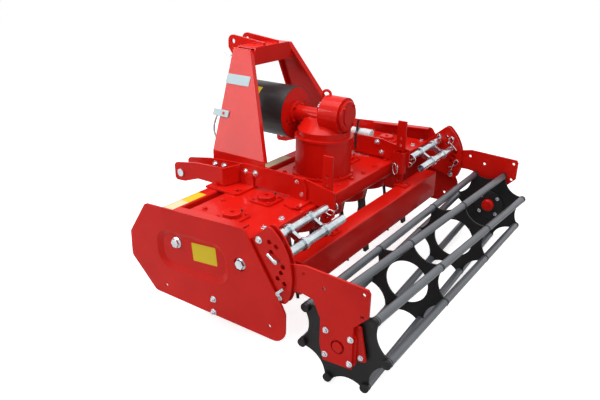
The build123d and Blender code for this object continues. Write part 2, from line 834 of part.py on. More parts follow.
# Guide tubes on the rear of the trough, thicker beside the sector plates
with BuildPart() as guide_tubes:
    for side_name, side in sides:
        with BuildSketch(side_view(side * guide_inner_x)):
            with Locations(guide_tube):
                Circle(guide_tube_r)
        extrude(amount=side * (trough_half - guide_inner_x))
        with BuildSketch(side_view(side * (link_xs[1] + link_thickness + guide_sleeve_gap))):
            with Locations(guide_tube):
                Circle(guide_sleeve_r)
        extrude(amount=side * guide_sleeve_length)
        with BuildSketch(side_view(side * (link_xs[1] + link_thickness + guide_sleeve_length))):
            with BuildLine():
                Polyline(
                    (-cover_half_depth, cover_top - cover_sheet),
                    (guide_tube[0], guide_tube[1] + guide_tube_r / 2),
                    (guide_tube[0], guide_tube[1] - guide_tube_r / 2),
                    (-cover_half_depth, cover_top - cover_lip),
                    close=True,
                )
            make_face()
        extrude(amount=side * guide_lug_t)
guide_tubes.part.label = "guide_tubes"
export_step(guide_tubes.part, "parts/guide_tubes.step")

# Stop tubes, each ending in the pin that goes through the sector plates
with BuildPart() as stop_tubes:
    for side_name, side in sides:
        with BuildSketch(side_view(side * stop_inner_x)):
            with Locations(stop_place):
                Circle(stop_tube_r)
        extrude(amount=side * (trough_half - stop_shoulder - stop_inner_x))
        with BuildSketch(side_view(side * stop_inner_x)):
            with Locations(stop_place):
                Circle(stop_tube_r - stop_tube_wall)
        extrude(amount=side * stop_tube_bore_depth, mode=Mode.SUBTRACT)
        with BuildSketch(side_view(side * (trough_half - stop_shoulder))):
            with Locations(stop_place):
                Circle(stop_pin_r)
        extrude(amount=side * (sector_outer_face + stop_pin_reach - trough_half + stop_shoulder))
stop_tubes.part.label = "stop_tubes"
export_step(stop_tubes.part, "parts/stop_tubes.step")

# Link plates that hold each stop tube to its guide tube
guide_rim, stop_rim = link_rims
with BuildPart() as tube_links:
    for side_name, side in sides:
        for link_x in link_xs:
            with BuildSketch(side_view(side * link_x)) as link:
                with Locations(guide_tube):
                    Circle(guide_tube_r + guide_rim)
                with Locations(stop_place):
                    Circle(stop_tube_r + stop_rim)
                with BuildLine():
                    Polyline(
                        (guide_tube[0] + link_lean, guide_tube[1] + link_half),
                        (stop_place[0] + link_lean, stop_place[1] + link_half),
                        (stop_place[0] - link_lean, stop_place[1] - link_half),
                        (guide_tube[0] - link_lean, guide_tube[1] - link_half),
                        close=True,
                    )
                make_face()
                with Locations(guide_tube):
                    Circle(guide_tube_r + seat_gap, mode=Mode.SUBTRACT)
                with Locations(stop_place):
                    Circle(stop_tube_r + seat_gap, mode=Mode.SUBTRACT)
            extrude(amount=side * link_thickness)
tube_links.part.label = "tube_links"
export_step(tube_links.part, "parts/tube_links.step")

# Lower stop pins below the arms
with BuildPart() as lower_pins:
    for side_name, side in sides:
        with BuildSketch(side_view(side * (inner_sector_x - stop_pin_reach))):
            with Locations(lower_pin_place):
                Circle(stop_pin_r)
        extrude(amount=side * (sector_outer_face - inner_sector_x + 2 * stop_pin_reach))
lower_pins.part.label = "lower_pins"
export_step(lower_pins.part, "parts/lower_pins.step")

# Levelling beam: closed box tube behind the rotors
with BuildPart() as levelling_beam:
    with BuildSketch(side_view(-level_half)):
        with Locations(((level_rear + level_front) / 2, (level_bottom + level_top) / 2)):
            RectangleRounded(level_front - level_rear, level_top - level_bottom, level_corner_r)
    extrude(amount=2 * level_half)
levelling_beam.part.label = "levelling_beam"
export_step(levelling_beam.part, "parts/levelling_beam.step")

# Hanger bars with their row of holes and the saddles on the beam
hanger_steps = range(-hanger_holes_below, hanger_holes_above)
hanger_holes = [(hanger_y, hanger_pin_z + step * hanger_hole_pitch) for step in hanger_steps]
with BuildPart() as hanger_bars:
    for side_name, side in sides:
        bar_face = hanger_x - hanger_t / 2
        with BuildSketch(side_view(side * bar_face)):
            with Locations((hanger_y, (level_top + hanger_top) / 2)):
                Rectangle(hanger_width, hanger_top - level_top)
            with Locations(*hanger_holes):
                Circle(hanger_hole_r, mode=Mode.SUBTRACT)
        extrude(amount=side * hanger_t)
        saddle_front_y = level_front + saddle_apron_t
        saddle_rear_y = level_rear + saddle_rear
        with BuildSketch(top_view(level_top)):
            with Locations((side * hanger_x, (saddle_front_y + saddle_rear_y) / 2)):
                Rectangle(saddle_width, saddle_front_y - saddle_rear_y)
        extrude(amount=saddle_sheet)
        with BuildSketch(rear_view(saddle_front_y)):
            with Locations((side * hanger_x, level_top + saddle_sheet - saddle_apron_height / 2)):
                Rectangle(saddle_width, saddle_apron_height)
        extrude(amount=saddle_apron_t)
hanger_bars.part.label = "hanger_bars"
export_step(hanger_bars.part, "parts/hanger_bars.step")

# Sleeves that hold the hanger bars against the brackets: U channels with rounded bends
with BuildPart() as hanger_sleeves:
    sleeve_inner_x = hanger_x - hanger_t / 2 - sleeve_play - sleeve_bend_r / 2
    sleeve_half = hanger_width / 2 + sleeve_play
    sleeve_middle = (sleeve_inner_x + bracket_x) / 2
    sleeve_run = bracket_x - sleeve_inner_x
    for side_name, side in sides:
        with BuildSketch(top_view(sleeve_bottom)) as channel:
            with Locations((side * (sleeve_middle - sleeve_wall / 2), hanger_y)):
                Rectangle(sleeve_run + sleeve_wall, 2 * (sleeve_half + sleeve_wall))
            bends = channel.vertices().sort_by(lambda corner: abs(corner.X))[:2]
            fillet(bends, sleeve_bend_r)
            with Locations((side * sleeve_middle, hanger_y)):
                Rectangle(sleeve_run, 2 * sleeve_half, mode=Mode.SUBTRACT)
        extrude(amount=sleeve_top - sleeve_bottom)
        with BuildSketch(side_view(side * (sleeve_inner_x - sleeve_wall))):
            with Locations((hanger_y, hanger_pin_z)):
                Circle(hanger_pin_r + seat_gap)
        extrude(amount=side * sleeve_wall, mode=Mode.SUBTRACT)
hanger_sleeves.part.label = "hanger_sleeves"
export_step(hanger_sleeves.part, "parts/hanger_sleeves.step")

# Pins through the sleeves, bars and brackets
with BuildPart() as hanger_pins:
    for side_name, side in sides:
        with BuildSketch(side_view(side * (sleeve_inner_x - sleeve_wall - hanger_pin_end))):
            with Locations((hanger_y, hanger_pin_z)):
                Circle(hanger_pin_r)
        extrude(amount=side * (bracket_outer_face - sleeve_inner_x + sleeve_wall + 1.5 * hanger_pin_end))
hanger_pins.part.label = "hanger_pins"
export_step(hanger_pins.part, "parts/hanger_pins.step")

# Document canister lying on the right bracket
with BuildPart() as document_canister:
    with BuildSketch(rear_view(canister_front)):
        with Locations((bracket_outer_face + canister_r + seat_gap, bracket_top)):
            Circle(canister_r)
    extrude(amount=canister_front - canister_rear)
    fillet(document_canister.edges().filter_by(GeomType.CIRCLE), canister_edge_r)
document_canister.part.label = "document_canister"
export_step(document_canister.part, "parts/document_canister.step")

# Roller arms: plates that hang on the pivot pins between the sector plates
arm_edge_at_stop = stop_place[1] - (stop_pin_r + seat_gap) * (1 + arm_edge_rise**2) ** 0.5
arm_front = arm_belly[-1][0]
arm_outline = [
    (arm_step, arm_edge_at_stop + (stop_place[0] - arm_step) * arm_edge_rise),
    *arm_heel,
    *arm_foot,
    *arm_belly,
    (arm_front, arm_edge_at_stop + (stop_place[0] - arm_front) * arm_edge_rise),
]
for side_name, side in sides:
    with BuildPart() as roller_arm:
        with BuildSketch(side_view(side * arm_x)):
            with BuildLine():
                Polyline(*arm_outline, close=True)
            make_face()
            with Locations(pivot):
                Circle(pivot_pin_r + pin_clearance, mode=Mode.SUBTRACT)
            with Locations(*arm_holes):
                Circle(arm_hole_r, mode=Mode.SUBTRACT)
            with Locations((roller_y, roller_z)):
                Circle(roller_shaft_r + arm_hole_r, mode=Mode.SUBTRACT)
        extrude(amount=side * arm_plate)
    roller_arm.part.label = f"roller_arm_{side_name}"
    export_step(roller_arm.part, f"parts/roller_arm_{side_name}.step")

# Flange bearings inside the arms
with BuildPart() as roller_bearings:
    for side_name, side in sides:
        with BuildSketch(side_view(side * (arm_x - bearing_plate))):
            with Locations((roller_y, roller_z)):
                RectangleRounded(bearing_size, bearing_size, bearing_corner_r)
                Circle(roller_shaft_r + shaft_clearance, mode=Mode.SUBTRACT)
        extrude(amount=side * bearing_plate)
roller_bearings.part.label = "roller_bearings"
export_step(roller_bearings.part, "parts/roller_bearings.step")


def bar_end(number, side):
    """Centre of a roller bar at the end plate on one side, forward and up."""
    turn = roller_twist * (side + 1) / 2
    angle = radians(roller_first_angle - number * 360 / roller_bars_count + turn)
    y = roller_y + roller_bar_circle_r * cos(angle)
    z = roller_z + roller_bar_circle_r * sin(angle)
    return (y, z)


def bar_place(number, x):
    """Centre of a roller bar where it passes a station across the machine."""
    share = (x + roller_end_x) / (2 * roller_end_x)
    left_y, left_z = bar_end(number, -1)
    right_y, right_z = bar_end(number, 1)
    return (left_y + share * (right_y - left_y), left_z + share * (right_z - left_z))


# Cage roller: straight bars, set askew by the twist from the left end plate to the right one
bar_reach = roller_end_x + roller_bar_end
with BuildPart() as roller_bars:
    for number in range(roller_bars_count):
        left_y, left_z = bar_place(number, -bar_reach)
        right_y, right_z = bar_place(number, bar_reach)
        start = Vector(-bar_reach, rotor_line_y + left_y, left_z)
        run = Vector(bar_reach, rotor_line_y + right_y, right_z) - start
        with BuildSketch(Plane(origin=start, z_dir=run)):
            Circle(roller_bar_r)
        extrude(amount=run.length)
roller_bars.part.label = "roller_bars"
export_step(roller_bars.part, "parts/roller_bars.step")


def disc_sketch(x, hole_r):
    """Scalloped disc with a seat for each bar and a hole in the middle."""
    seats = [bar_place(number, x) for number in range(roller_bars_count)]
    first_y, first_z = seats[0]
    first_angle = atan2(first_z - roller_z, first_y - roller_y)
    seat_circle_r = ((first_y - roller_y) ** 2 + (first_z - roller_z) ** 2) ** 0.5
    with Locations((roller_y, roller_z)):
        Circle(seat_circle_r + disc_rim)
    for number in range(roller_bars_count):
        angle = first_angle - (number + 0.5) * radians(360 / roller_bars_count)
        reach = seat_circle_r + scallop_offset
        with Locations((roller_y + reach * cos(angle), roller_z + reach * sin(angle))):
            Circle(scallop_r, mode=Mode.SUBTRACT)
    with Locations(*seats):
        Circle(roller_bar_r + 2 * seat_gap, mode=Mode.SUBTRACT)
    with Locations((roller_y, roller_z)):
        Circle(hole_r, mode=Mode.SUBTRACT)


# End plates of the roller, closed but for the shaft
with BuildPart() as roller_end_plates:
    for side_name, side in sides:
        with BuildSketch(side_view(side * roller_end_x)):
            disc_sketch(side * roller_end_x, roller_shaft_r + seat_gap)
        extrude(amount=-side * roller_disc_t)
roller_end_plates.part.label = "roller_end_plates"
export_step(roller_end_plates.part, "parts/roller_end_plates.step")

# Inner discs of the roller, open in the middle
with BuildPart() as roller_discs:
    for side_name, side in sides:
        with BuildSketch(side_view(side * (roller_mid_x - roller_disc_t / 2))):
            disc_sketch(side * roller_mid_x, disc_hole_r)
        extrude(amount=side * roller_disc_t)
roller_discs.part.label = "roller_discs"
export_step(roller_discs.part, "parts/roller_discs.step")

# Hubs: shaft stub in the bearing, and flange with a dome inside the end plate
with BuildPart() as roller_hubs:
    for side_name, side in sides:
        end_plate_inner_x = roller_end_x - roller_disc_t
        shaft_start_x = end_plate_inner_x - roller_shaft_seat
        with BuildSketch(side_view(side * shaft_start_x)):
            with Locations((roller_y, roller_z)):
                Circle(roller_shaft_r)
        extrude(amount=side * (arm_x + arm_plate + roller_shaft_end - shaft_start_x))
        with BuildSketch(side_view(side * end_plate_inner_x)):
            with Locations((roller_y, roller_z)):
                Circle(hub_flange_r)
        extrude(amount=-side * hub_flange_t)
        with BuildSketch(side_view(side * (end_plate_inner_x - hub_flange_t))):
            with Locations((roller_y, roller_z)):
                Circle(hub_dome_r)
        extrude(amount=-side * hub_dome_t)
    domes = roller_hubs.edges().filter_by(GeomType.CIRCLE).sort_by(lambda edge: abs(edge.center().X))
    fillet(domes[:2], hub_dome_t / 2)
roller_hubs.part.label = "roller_hubs"
export_step(roller_hubs.part, "parts/roller_hubs.step")

# Rotors: shaft and carrier in one piece, and a pair of knife tines below each
for number, (rotor_x, turn) in enumerate(zip(rotor_xs, rotor_turns), 1):
    with BuildPart() as carrier:
        with BuildSketch(top_view(carrier_bottom)):
            with Locations((rotor_x, 0)):
                Circle(carrier_r)
        extrude(amount=carrier_depth)
        with BuildSketch(top_view(carrier_top)):
            with Locations((rotor_x, 0)):
                Circle(rotor_shaft_r)
        extrude(amount=trough_bottom + shaft_seat_depth - rotor_shaft_play - carrier_top)
    carrier.part.label = f"rotor_{number}"
    export_step(carrier.part, f"parts/rotor_{number}.step")

    with BuildPart() as tines:
        for half_turn in (0, 180):
            across = radians(turn + half_turn)
            radial_plane = Plane(
                origin=(rotor_x, rotor_line_y, 0),
                x_dir=(cos(across), sin(across), 0),
                z_dir=(sin(across), -cos(across), 0),
            )
            with BuildSketch(radial_plane.offset(-tine_width / 2)):
                with BuildLine():
                    Polyline(
                        (tine_top_r - tine_thickness, carrier_bottom),
                        (tine_tip_r - tine_thickness, 0),
                        (tine_tip_r, 0),
                        (tine_top_r, carrier_bottom),
                        close=True,
                    )
                make_face()
            extrude(amount=tine_width)
            outward_plane = Plane(radial_plane.origin, x_dir=-radial_plane.z_dir, z_dir=radial_plane.x_dir)
            with BuildSketch(outward_plane):
                with BuildLine():
                    Polyline(
                        (-tine_width / 2, tine_cut_height),
                        (tine_cut - tine_width / 2, 0),
                        (-tine_width / 2, 0),
                        close=True,
                    )
                make_face()
            extrude(amount=tine_tip_r, mode=Mode.SUBTRACT)
    tines.part.label = f"tines_{number}"
    export_step(tines.part, f"parts/tines_{number}.step")
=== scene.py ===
from math import cos, pi, radians, sin

import bmesh
import bpy
from mathutils import Matrix, Vector


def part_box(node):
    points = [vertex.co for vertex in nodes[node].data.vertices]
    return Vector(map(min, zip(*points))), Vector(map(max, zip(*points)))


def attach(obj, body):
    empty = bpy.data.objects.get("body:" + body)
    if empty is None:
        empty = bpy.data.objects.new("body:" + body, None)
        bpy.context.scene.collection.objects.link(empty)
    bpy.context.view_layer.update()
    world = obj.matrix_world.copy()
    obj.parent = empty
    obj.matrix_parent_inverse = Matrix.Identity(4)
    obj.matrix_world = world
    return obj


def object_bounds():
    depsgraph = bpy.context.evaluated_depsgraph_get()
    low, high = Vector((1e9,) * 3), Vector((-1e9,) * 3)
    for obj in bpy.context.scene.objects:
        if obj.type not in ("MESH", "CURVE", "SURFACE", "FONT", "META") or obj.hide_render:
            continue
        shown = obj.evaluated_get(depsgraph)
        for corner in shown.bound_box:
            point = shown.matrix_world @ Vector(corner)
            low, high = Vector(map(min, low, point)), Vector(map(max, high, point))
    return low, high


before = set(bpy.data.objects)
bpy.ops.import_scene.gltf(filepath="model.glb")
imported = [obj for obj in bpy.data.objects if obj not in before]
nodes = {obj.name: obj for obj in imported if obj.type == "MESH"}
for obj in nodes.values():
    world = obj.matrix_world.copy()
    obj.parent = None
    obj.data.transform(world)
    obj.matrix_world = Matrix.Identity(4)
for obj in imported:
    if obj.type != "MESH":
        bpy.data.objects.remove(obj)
cad_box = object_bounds()

# Camera: stands behind the left roller arm at head height and looks forward
# and down over the side plate, with a moderate lens.
camera_place = Vector((-2.567, -1.471, 1.619))
camera_turn = radians(55.7)
camera_drop = radians(22.59)
camera_roll = radians(0.97)
lens_mm = 36.34
sensor_mm = 36.0
sight_limit = 100.0

camera = bpy.data.objects.new("camera", bpy.data.cameras.new("camera"))
bpy.context.scene.collection.objects.link(camera)
bpy.context.scene.camera = camera
aim = Vector(
    (
        sin(camera_turn) * cos(camera_drop),
        cos(camera_turn) * cos(camera_drop),
        -sin(camera_drop),
    )
)
level_view = aim.to_track_quat("-Z", "Y").to_matrix()
turned_view = level_view @ Matrix.Rotation(camera_roll, 3, "Z")
camera.matrix_world = Matrix.Translation(camera_place) @ turned_view.to_4x4()
camera.data.lens = lens_mm
camera.data.sensor_width = sensor_mm
camera.data.clip_end = sight_limit

# Studio: white room with a plain pale floor that keeps a soft shadow. One
# large lamp hangs overhead, one stands where the left mast leg mirrors it
# into the camera, and a weak one lights the rear.
floor_half = 14.0
floor_colour = (0.74, 0.74, 0.74, 1)
floor_glow = 0.76
room_light = 0.32
backdrop_light = 1.0
white = (1, 1, 1, 1)
lamps = (
    # name, place, width, length, power
    ("overhead_lamp", (-0.4, 0.2, 3.6), 3.4, 3.0, 112.0),
    ("left_lamp", (-3.03, 2.98, 2.33), 1.5, 1.5, 62.0),
    ("rear_lamp", (-1.2, -3.8, 2.6), 2.6, 1.6, 24.0),
)

bpy.context.scene.view_settings.view_transform = "Standard"

# The room is white where the camera sees it or its mirror image, and dimmer
# where it lights the machine.
world = bpy.data.worlds.new("white_room")
bpy.context.scene.world = world
world.use_nodes = True
room, room_links = world.node_tree.nodes, world.node_tree.links
room.clear()
ray = room.new("ShaderNodeLightPath")
seen = room.new("ShaderNodeMath")
seen.operation = "MAXIMUM"
seen_through = room.new("ShaderNodeMath")
seen_through.operation = "MAXIMUM"
lighting = room.new("ShaderNodeBackground")
lighting.inputs["Strength"].default_value = room_light
backdrop = room.new("ShaderNodeBackground")
backdrop.inputs["Strength"].default_value = backdrop_light
for background in (lighting, backdrop):
    background.inputs["Color"].default_value = white
either = room.new("ShaderNodeMixShader")
world_out = room.new("ShaderNodeOutputWorld")
room_links.new(ray.outputs["Is Camera Ray"], seen.inputs[0])
room_links.new(ray.outputs["Is Glossy Ray"], seen.inputs[1])
room_links.new(seen.outputs[0], seen_through.inputs[0])
room_links.new(ray.outputs["Is Transmission Ray"], seen_through.inputs[1])
room_links.new(seen_through.outputs[0], either.inputs["Fac"])
room_links.new(lighting.outputs[0], either.inputs[1])
room_links.new(backdrop.outputs[0], either.inputs[2])
room_links.new(either.outputs[0], world_out.inputs["Surface"])

floor_shape = bmesh.new()
bmesh.ops.create_grid(floor_shape, x_segments=1, y_segments=1, size=floor_half)
floor_mesh = bpy.data.meshes.new("floor")
floor_shape.to_mesh(floor_mesh)
floor_shape.free()
floor = bpy.data.objects.new("floor", floor_mesh)
bpy.context.scene.collection.objects.link(floor)

# The floor glows for the camera only, so it fades into the white room.
floor_finish = bpy.data.materials.new("pale_floor")
floor_finish.use_nodes = True
floor_nodes, floor_links = floor_finish.node_tree.nodes, floor_finish.node_tree.links
floor_shader = floor_nodes["Principled BSDF"]
floor_shader.inputs["Base Color"].default_value = floor_colour
floor_shader.inputs["Roughness"].default_value = 1.0
floor_shader.inputs["Specular IOR Level"].default_value = 0.0
floor_shader.inputs["Emission Color"].default_value = white
floor_ray = floor_nodes.new("ShaderNodeLightPath")
floor_lift = floor_nodes.new("ShaderNodeMath")
floor_lift.operation = "MULTIPLY"
floor_lift.inputs[1].default_value = floor_glow
floor_links.new(floor_ray.outputs["Is Camera Ray"], floor_lift.inputs[0])
floor_links.new(floor_lift.outputs[0], floor_shader.inputs["Emission Strength"])
floor.data.materials.append(floor_finish)

machine_middle = (cad_box[0] + cad_box[1]) / 2
for name, place, width, length, power in lamps:
    lamp = bpy.data.objects.new(name, bpy.data.lights.new(name, "AREA"))
    bpy.context.scene.collection.objects.link(lamp)
    lamp.data.shape = "RECTANGLE"
    lamp.data.size = width
    lamp.data.size_y = length
    lamp.data.energy = power
    lamp.location = place
    lamp.rotation_euler = (machine_middle - lamp.location).to_track_quat("-Z", "Y").to_euler()

# Gear trough with its cover and bearing caps: steel sheet and castings, bolted
# shut and then sprayed in gloss red enamel. The rear row's outer bolts and the
# front row's right ones are plated. The grease nipples have black caps.
rotor_line = (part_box("rotor_4")[0].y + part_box("rotor_4")[1].y) / 2
cover_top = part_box("trough_cover")[1].z
rotor_pitch = 0.245
bolt_pitch = rotor_pitch / 2
bolt_steps_each_way = 7
foot_step = 4
foot_thickness = 0.010
rear_row = -0.178
front_row = 0.162
inner_bolts_to = 0.40
cover_bolt_flats = 0.019
capped_rotors = (-3, -2, -1, 1, 2, 3)
cap_flange_height = 0.009
cap_top_height = 0.028
cap_bolt_flats = 0.016
cap_bolt_spread = 0.0455
nipple_place = (0.030, -0.030)
nipple_r = 0.0045
nipple_height = 0.010
nut_stud = 0.006
crease_angle = radians(38)
up = Vector((0, 0, 1))


def begin_finish(name):
    """New finish, with its nodes, their links, the shader and the object's own coordinates."""
    finish = bpy.data.materials.new(name)
    finish.use_nodes = True
    made, links = finish.node_tree.nodes, finish.node_tree.links
    return finish, made, links, made["Principled BSDF"], made.new("ShaderNodeTexCoord")


def add_noise(made, links, place, scale, detail):
    """Cloudy pattern fixed to the object."""
    pattern = made.new("ShaderNodeTexNoise")
    pattern.inputs["Scale"].default_value = scale
    pattern.inputs["Detail"].default_value = detail
    links.new(place.outputs["Object"], pattern.inputs["Vector"])
    return pattern


def add_tint(made, links, shader, pattern, deep, bright, bright_from):
    """Colour that drifts between a deep and a bright tone."""
    tint = made.new("ShaderNodeValToRGB")
    tones = tint.color_ramp.elements
    tones[0].position = 0.3
    tones[0].color = deep
    tones[1].position = bright_from
    tones[1].color = bright
    links.new(pattern.outputs["Fac"], tint.inputs["Fac"])
    links.new(tint.outputs["Color"], shader.inputs["Base Color"])


def add_sheen(made, links, shader, pattern, roughness):
    """Roughness that wanders to either side of its value."""
    sheen = made.new("ShaderNodeMapRange")
    sheen.inputs["To Min"].default_value = roughness * 0.8
    sheen.inputs["To Max"].default_value = roughness * 1.3
    links.new(pattern.outputs["Fac"], sheen.inputs["Value"])
    links.new(sheen.outputs["Result"], shader.inputs["Roughness"])


def add_corner(made, radius):
    """Softens sharp edges in the look."""
    corner = made.new("ShaderNodeBevel")
    corner.samples = 4
    corner.inputs["Radius"].default_value = radius
    return corner


def sprayed(name, deep, bright, roughness, grain, grain_depth, shine, coat, edge):
    """Sprayed or moulded finish: cloudy colour, fine orange peel, and softened edges."""
    finish, made, links, shader, place = begin_finish(name)
    cloud = add_noise(made, links, place, scale=5.0, detail=4.0)
    smear = add_noise(made, links, place, scale=17.0, detail=5.0)
    peel = add_noise(made, links, place, scale=grain, detail=2.0)
    add_tint(made, links, shader, cloud, deep, bright, bright_from=0.7)
    add_sheen(made, links, shader, smear, roughness)
    corner = add_corner(made, edge)
    relief = made.new("ShaderNodeBump")
    relief.inputs["Strength"].default_value = 0.25
    relief.inputs["Distance"].default_value = grain_depth
    links.new(peel.outputs["Fac"], relief.inputs["Height"])
    links.new(corner.outputs["Normal"], relief.inputs["Normal"])
    links.new(relief.outputs["Normal"], shader.inputs["Normal"])
    links.new(relief.outputs["Normal"], shader.inputs["Coat Normal"])
    shader.inputs["Specular IOR Level"].default_value = shine
    shader.inputs["Coat Weight"].default_value = coat
    shader.inputs["Coat Roughness"].default_value = 0.06
    return finish


def plated(name, deep, bright, roughness):
    """Zinc plate or machined steel: a metal with a cloudy, lightly mottled skin."""
    finish, made, links, shader, place = begin_finish(name)
    cloud = add_noise(made, links, place, scale=26.0, detail=4.0)
    add_tint(made, links, shader, cloud, deep, bright, bright_from=0.75)
    add_sheen(made, links, shader, cloud, roughness)
    corner = add_corner(made, radius=0.0008)
    links.new(corner.outputs["Normal"], shader.inputs["Normal"])
    shader.inputs["Metallic"].default_value = 1.0
    return finish


def dress(finish, *names):
    """Gives frame nodes their finish."""
    for name in names:
        nodes[name].data.materials.clear()
        nodes[name].data.materials.append(finish)


def at(x, forward, height):
    """Place across, forward of the line of the rotors, and above the ground."""
    return Vector((x, rotor_line + forward, height))


def standing(place, outward):
    """Stands a shape that is made along Z on a place, pointing outward."""
    return Matrix.Translation(place) @ Vector(outward).to_track_quat("Z", "Y").to_matrix().to_4x4()


def soften(shape, verts, place, outward, height, offset):
    """Rounds the outer rim of a head that was just made."""
    rim = {
        edge
        for vert in verts
        for edge in vert.link_edges
        if all((end.co - place).dot(outward) > height / 2 for end in edge.verts)
    }
    bmesh.ops.bevel(
        shape, geom=list(rim), offset=offset, segments=2, profile=0.5, affect="EDGES", material=-1
    )


def add_round(shape, place, outward, radius, height, sides=28):
    """Turned disc or stub with its outer rim broken."""
    outward = Vector(outward).normalized()
    stand = standing(place, outward) @ Matrix.Translation((0, 0, height / 2))
    made = bmesh.ops.create_cone(
        shape, cap_ends=True, segments=sides, radius1=radius, radius2=radius, depth=height, matrix=stand
    )
    soften(shape, made["verts"], place, outward, height, min(radius, height) * 0.2)


def add_hex_bolt(shape, place, outward, flats, washer=True, stud=0.0):
    """Hexagon head or nut on its washer, with the end of the stud where it is a nut."""
    outward = Vector(outward).normalized()
    washer_r = flats * 0.8
    washer_height = flats * 0.12 if washer else 0.0
    corner_r = flats / 3**0.5
    head_height = flats * 0.42
    rim_round = flats * 0.06
    stud_r = flats * 0.31
    if washer:
        add_round(shape, place, outward, washer_r, washer_height)
    seat = place + outward * washer_height
    stand = standing(seat, outward) @ Matrix.Translation((0, 0, head_height / 2))
    made = bmesh.ops.create_cone(
        shape,
        cap_ends=True,
        segments=6,
        radius1=corner_r,
        radius2=corner_r,
        depth=head_height,
        matrix=stand,
    )
    soften(shape, made["verts"], seat, outward, head_height, rim_round)
    if stud:
        add_round(shape, seat + outward * head_height, outward, stud_r, stud)


def finished(shape, name, finish, body):
    """Closes a piece: normals outward, crisp edges kept, finish on, and fixed to its body."""
    bmesh.ops.recalc_face_normals(shape, faces=shape.faces)
    mesh = bpy.data.meshes.new(name)
    shape.to_mesh(mesh)
    shape.free()
    mesh.shade_smooth()
    mesh.set_sharp_from_angle(angle=crease_angle)
    mesh.materials.append(finish)
    piece = bpy.data.objects.new(name, mesh)
    bpy.context.scene.collection.objects.link(piece)
    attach(piece, body)


red_enamel = sprayed(
    "red_enamel",
    deep=(0.56, 0.0060, 0.0030, 1),
    bright=(0.66, 0.0100, 0.0050, 1),
    roughness=0.32,
    grain=420.0,
    grain_depth=0.0005,
    shine=0.05,
    coat=0.24,
    edge=0.0016,
)
zinc_plate = plated(
    "zinc_plate", deep=(0.54, 0.61, 0.65, 1), bright=(0.80, 0.88, 0.92, 1), roughness=0.22
)
shield_black = sprayed(
    "shield_black",
    deep=(0.010, 0.010, 0.011, 1),
    bright=(0.018, 0.018, 0.019, 1),
    roughness=0.36,
    grain=900.0,
    grain_depth=0.0004,
    shine=0.5,
    coat=0.0,
    edge=0.001,
)
dress(red_enamel, "trough", "trough_cover", "rotor_caps")

red_bolts = bmesh.new()
zinc_bolts = bmesh.new()
for step in range(-bolt_steps_each_way, bolt_steps_each_way + 1):
    x = step * bolt_pitch
    on_foot = foot_thickness if abs(step) == foot_step else 0.0
    rear_bolts = red_bolts if abs(x) < inner_bolts_to or on_foot else zinc_bolts
    add_hex_bolt(rear_bolts, at(x, rear_row, cover_top + on_foot), up, cover_bolt_flats)
    front_bolts = zinc_bolts if x > inner_bolts_to and not on_foot else red_bolts
    add_hex_bolt(front_bolts, at(x, front_row, cover_top + on_foot), up, cover_bolt_flats)
nipples = bmesh.new()
nipple_x, nipple_forward = nipple_place
for rotor in capped_rotors:
    rotor_x = rotor * rotor_pitch
    for along in (-cap_bolt_spread, cap_bolt_spread):
        for over in (-cap_bolt_spread, cap_bolt_spread):
            place = at(rotor_x + along, over, cover_top + cap_flange_height)
            add_hex_bolt(red_bolts, place, up, cap_bolt_flats)
    place = at(rotor_x + nipple_x, nipple_forward, cover_top + cap_top_height)
    add_round(nipples, place, up, nipple_r, nipple_height, sides=12)
finished(red_bolts, "painted_cover_bolts", red_enamel, "harrow_frame")
finished(zinc_bolts, "plated_cover_bolts", zinc_plate, "harrow_frame")
finished(nipples, "grease_nipples", shield_black, "harrow_frame")

# Gearbox: cast drum and head in the same enamel, with a bolted rear cover and
# front flange and a cast lifting eye. A plated plug closes the filler boss.
drum_flange_height = 0.013
drum_foot = at(0, 0, cover_top + drum_flange_height)
drum_bolt_circle = 0.1545
drum_bolt_count = 8
drum_bolt_flats = 0.0135
head_middle_height = 0.846
head_bolt_count = 4
head_bolt_circle = 0.066
head_bolt_flats = 0.014
cover_rim_depth = 0.0047
shaft_height = 0.819
flange_face = 0.164
flange_bolt_circle = 0.051
flange_bolt_flats = 0.013
eye_foot = at(0.004, -0.006, 0.875)
eye_stem_r = 0.011
eye_stem_height = 0.045
eye_r = 0.020
eye_thickness = 0.0072
eye_facing = (1, 0.45, 0)
boss_top = at(-0.042, -0.002, 0.885)
plug_flats = 0.024
plug_neck_height = 0.009
backward = (0, -1, 0)


def bolt_angles(count):
    """Angles of bolts spread evenly round a circle, half a step off level."""
    return [radians((turn + 0.5) * 360 / count) for turn in range(count)]


def add_ring(shape, place, outward, radius, thickness, sides=10, steps=32):
    """Round ring: a small circle spun about the outward axis."""
    outward = Vector(outward).normalized()
    start = standing(place, outward) @ Matrix.Translation((radius, 0, 0)) @ Matrix.Rotation(pi / 2, 4, "X")
    section = bmesh.ops.create_circle(shape, segments=sides, radius=thickness, matrix=start)
    edges = {edge for vert in section["verts"] for edge in vert.link_edges}
    bmesh.ops.spin(
        shape,
        geom=section["verts"] + list(edges),
        cent=place,
        axis=outward,
        angle=2 * pi,
        steps=steps,
        use_merge=True,
    )


